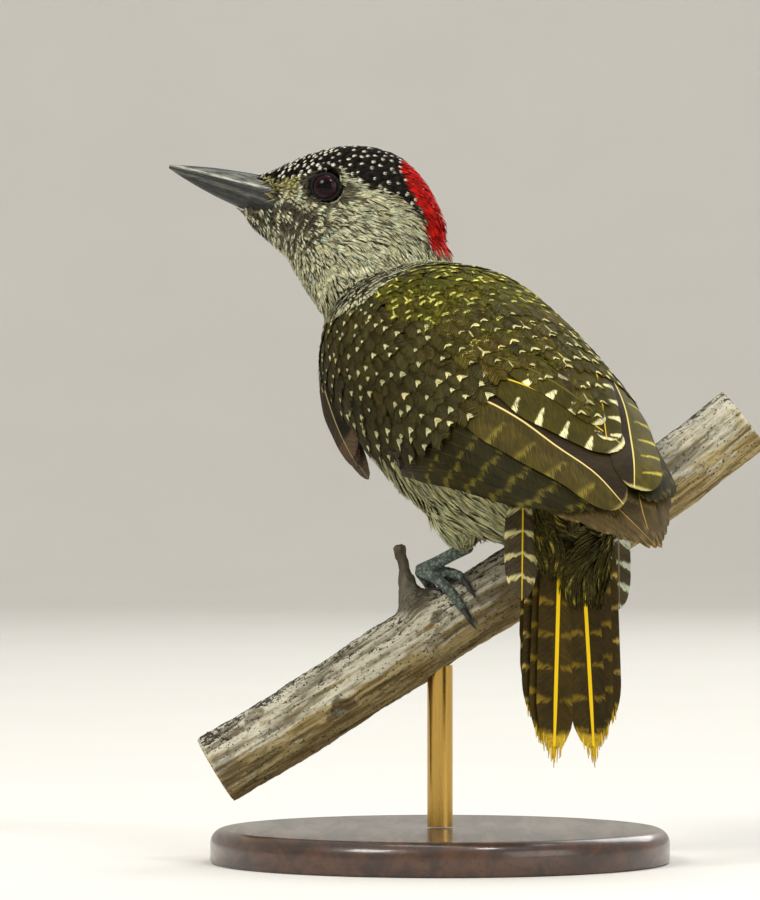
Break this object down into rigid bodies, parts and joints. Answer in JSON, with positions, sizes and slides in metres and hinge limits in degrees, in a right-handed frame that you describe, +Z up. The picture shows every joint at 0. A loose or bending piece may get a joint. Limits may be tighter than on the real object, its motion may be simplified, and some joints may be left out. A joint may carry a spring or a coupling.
{
  "type": "perched woodpecker model",
  "caption": "Life-size still model of a golden-tailed woodpecker looking back over its left shoulder from a cut branch, held by a rod over a flat round base.",
  "frame": {"origin": "centre of the stand base's underside", "axes": "+Z up; -Y towards the bird's tail side, from which it is mostly seen; the branch climbs towards +X and the bill points towards -X"},
  "size_m": [0.142, 0.1158, 0.1698],
  "materials": {
    "eye": "wet gloss",
    "head_plumage": "soft, barred and dotted feathering",
    "neck_plumage": "soft, streaked feathering",
    "body_plumage": "soft, spotted olive feathering",
    "thigh_plumage": "loose pale down",
    "wing_coverts": "short dark feathers with cream spots",
    "wing_feathers": "firm vanes with cream bars",
    "tail_feathers": "stiff brown vanes with golden shafts",
    "bill_horn": "satin horn",
    "foot_skin": "matt scales",
    "claw_horn": "satin horn",
    "bark": "rough dry bark",
    "stand_wood": "satin varnish",
    "stand_brass": "brushed"
  },
  "bodies": {
    "root": {"perch_branch": "bark", "tarsus_left": "foot_skin", "toe_left_outer_back": "foot_skin", "claw_left_outer_back": "claw_horn", "toe_left_inner_back": "foot_skin", "claw_left_inner_back": "claw_horn", "toe_left_outer_front": "foot_skin", "claw_left_outer_front": "claw_horn", "toe_left_inner_front": "foot_skin", "claw_left_inner_front": "claw_horn", "tarsus_right": "foot_skin", "toe_right_outer_back": "foot_skin", "claw_right_outer_back": "claw_horn", "toe_right_inner_back": "foot_skin", "claw_right_inner_back": "claw_horn", "toe_right_outer_front": "foot_skin", "claw_right_outer_front": "claw_horn", "toe_right_inner_front": "foot_skin", "claw_right_inner_front": "claw_horn", "thigh_left": "thigh_plumage", "thigh_right": "thigh_plumage", "eye_left": "eye", "eye_right": "eye", "head": "head_plumage", "trunk": "body_plumage", "neck": "neck_plumage", "bill_upper": "bill_horn", "bill_lower": "bill_horn", "wing_left_primaries": "wing_feathers", "wing_left_secondaries": "wing_feathers", "wing_left_tertials": "wing_feathers", "wing_left_coverts": "wing_coverts", "wing_left_alula": "wing_feathers", "wing_right_primaries": "wing_feathers", "wing_right_secondaries": "wing_feathers", "wing_right_tertials": "wing_feathers", "wing_right_coverts": "wing_coverts", "wing_right_alula": "wing_feathers", "rump": "body_plumage", "tail_left_1": "tail_feathers", "tail_left_2": "tail_feathers", "tail_left_3": "tail_feathers", "tail_left_4": "tail_feathers", "tail_left_5": "tail_feathers", "tail_left_6": "tail_feathers", "tail_right_1": "tail_feathers", "tail_right_2": "tail_feathers", "tail_right_3": "tail_feathers", "tail_right_4": "tail_feathers", "tail_right_5": "tail_feathers", "tail_right_6": "tail_feathers", "stand_base": "stand_wood", "stand_rod": "stand_brass"}
  },
  "joints": []
}
